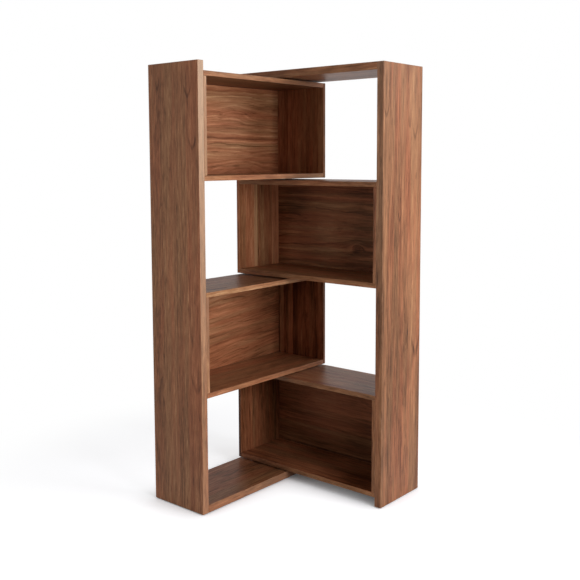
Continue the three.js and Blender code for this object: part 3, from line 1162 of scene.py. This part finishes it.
SOCKET = [(0, 2.2), (1.9, 1.8, "hexagon"), (2.0, 0.25, "hexagon"), (2.3, 0.0, "hexagon")]
HEAD = [(6.7, 0.0), (7.5, 0.7), (7.5, 2.6), (3.2, 2.6), (3.2, 8.0)]
SCREW = [*SOCKET, *HEAD, *threaded(3.2, 8.4, 35.2), (1.5, 39.3), (0, 39.3)]

DISC = [(0, 0.0), (10.6, 0.0), (12.0, 1.1), (12.0, 2.3), (11.4, 2.7), (2.5, 2.7), (2.2, 3.2)]
STEM_BARBS = [(2.2, 7.6), (2.5, 8.0), (2.1, 10.4), (2.5, 10.6), (2.1, 13.0), (2.5, 13.2)]
GLIDE = [*DISC, *STEM_BARBS, (1.2, 19.0), (0, 19.0)]
print("stations of the screw:", len(SCREW))

# %% [markdown]
# Metal and plastic look turned because fine rings round the axis catch the light. A mirror-smooth metal
# of one colour would look like a drawing. Each of these finishes takes its distance from the piece's own
# axis and draws noise along it, in the roughness and in a slight bump, and lets its colour play a
# little, as zinc, bronzing and nylon do.

# %% Make the fittings' finishes
MARKS = 5200.0  # turning marks to a metre
MARKS_LEAN = 0.35  # how far the marks also run on along the axis
MARK_DETAIL = 3.0
MARK_ROUGHNESS = 0.6
MARK_STRENGTH = 0.3
MARK_DEPTH = 0.00002
CLOUDS = 160.0  # to a metre
CLOUD_DETAIL = 3.0
CLOUD_ROUGHNESS = 0.55
CLOUD_SPOTS = (0.35, 0.7)  # from the fresh colour to the worn one
CLOUD_DULL = 0.12
LOOKS = {  # colour, colour where it is worn, metal, roughness, play of the roughness in the marks
    "zinc_steel": ((0.60, 0.60, 0.62, 1), (0.45, 0.45, 0.46, 1), 1.0, 0.30, 0.22),
    "bronzed_steel": ((0.30, 0.22, 0.14, 1), (0.16, 0.11, 0.07, 1), 1.0, 0.36, 0.20),
    "white_nylon": ((0.76, 0.74, 0.68, 1), (0.70, 0.67, 0.60, 1), 0.0, 0.48, 0.08),
    "dark_plastic": ((0.030, 0.027, 0.024, 1), (0.045, 0.041, 0.037, 1), 0.0, 0.55, 0.10),
}


def turned_finish(name):
    """A metal or plastic with turning marks round its axis and a slight play of colour."""
    colour, worn, metal, roughness, marks = LOOKS[name]
    material, shader, start = new_finish(name)
    x, y, z = start.node("ShaderNodeTexCoord", output="Object").split()
    out = (x * x + y * y) ** 0.5
    turning = line_noise(start, (out + z * MARKS_LEAN) * MARKS, MARK_DETAIL, MARK_ROUGHNESS)
    place = start.joined(x * CLOUDS, y * CLOUDS, z * CLOUDS)
    cloud = noise(start, place, CLOUD_DETAIL, CLOUD_ROUGHNESS)
    feed(start.mixed(cloud.fade(*CLOUD_SPOTS), colour, worn), shader, "Base Color")
    feed((turning - EVEN) * marks + (cloud - EVEN) * CLOUD_DULL + roughness, shader, "Roughness")
    values = {"Strength": MARK_STRENGTH, "Distance": MARK_DEPTH, "Height": turning}
    feed(start.node("ShaderNodeBump", {}, values), shader, "Normal")
    shader.inputs["Metallic"].default_value = metal
    return material


finishes = {name: turned_finish(name) for name in LOOKS}
print("fitting finishes:", ", ".join(finishes))

# %% [markdown]
# Each turned piece goes where its solid is. Its place could be typed in from the drawing, but the
# solid's box gives it without copying a number: a bush sits in the board above it, a pin in the board
# below, a glide stands on the floor, and a screw lies along the longest side of its box.

# %% Say where a fitting goes
FITTINGS = {  # profile, finish, and the record's material slot
    "pin": (PIN, "zinc_steel", "pivot_steel"),
    "bush": (BUSH, "white_nylon", "pivot_nylon"),
    "screw": (SCREW, "bronzed_steel", "bronzed_screw"),
    "glide": (GLIDE, "dark_plastic", "glide_plastic"),
}
UP = Vector((0, 0, 1))


def fitting_place(node):
    """Where a fitting's profile starts and which way its axis points, read from the solid's box."""
    low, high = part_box(node)
    middle = (low + high) / 2
    size = high - low
    if "bush" in node:
        return Vector((middle.x, middle.y, high.z - SEAT_DEPTH * MM)), -UP
    if "pin" in node:
        return Vector((middle.x, middle.y, low.z + SEAT_DEPTH * MM)), UP
    if "glide" in node:
        return Vector((middle.x, middle.y, low.z)), UP
    axis = max(range(3), key=lambda i: size[i])
    middle[axis] = high[axis]
    direction = Vector((0, 0, 0))
    direction[axis] = -1
    return middle, direction


print("kinds of fittings:", ", ".join(FITTINGS))

# %% [markdown]
# The turned piece takes the solid's place, so it turns with the same half of the shelf, and gets its
# finish from the table above. A piece that is fitted sixteen times shares one mesh.

# %% Put the turned pieces where the solids are
def fit_piece(node, mesh):
    """Sets a turned piece where its solid is, on the same body, and hides the solid."""
    piece = bpy.data.objects.new("turned_" + node, mesh)
    bpy.context.scene.collection.objects.link(piece)
    place, direction = fitting_place(node)
    turn = direction.to_track_quat("Z", "Y").to_matrix()
    piece.matrix_world = Matrix.Translation(place) @ turn.to_4x4()
    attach(piece, nodes[node]["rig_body"])
    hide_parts(node)


fitting_meshes = {}
for kind, (profile, finish, slot_name) in FITTINGS.items():
    fitting_meshes[kind] = turned_mesh("turned_" + kind, rounded(profile))
    fitting_meshes[kind].materials.append(finishes[finish])
for node in sorted(nodes):
    if node in boards:
        continue
    kind = next(word for word in FITTINGS if word in node)
    profile, finish, slot_name = FITTINGS[kind]
    fit_piece(node, fitting_meshes[kind])
print("turned pieces:", len(nodes) - len(boards))
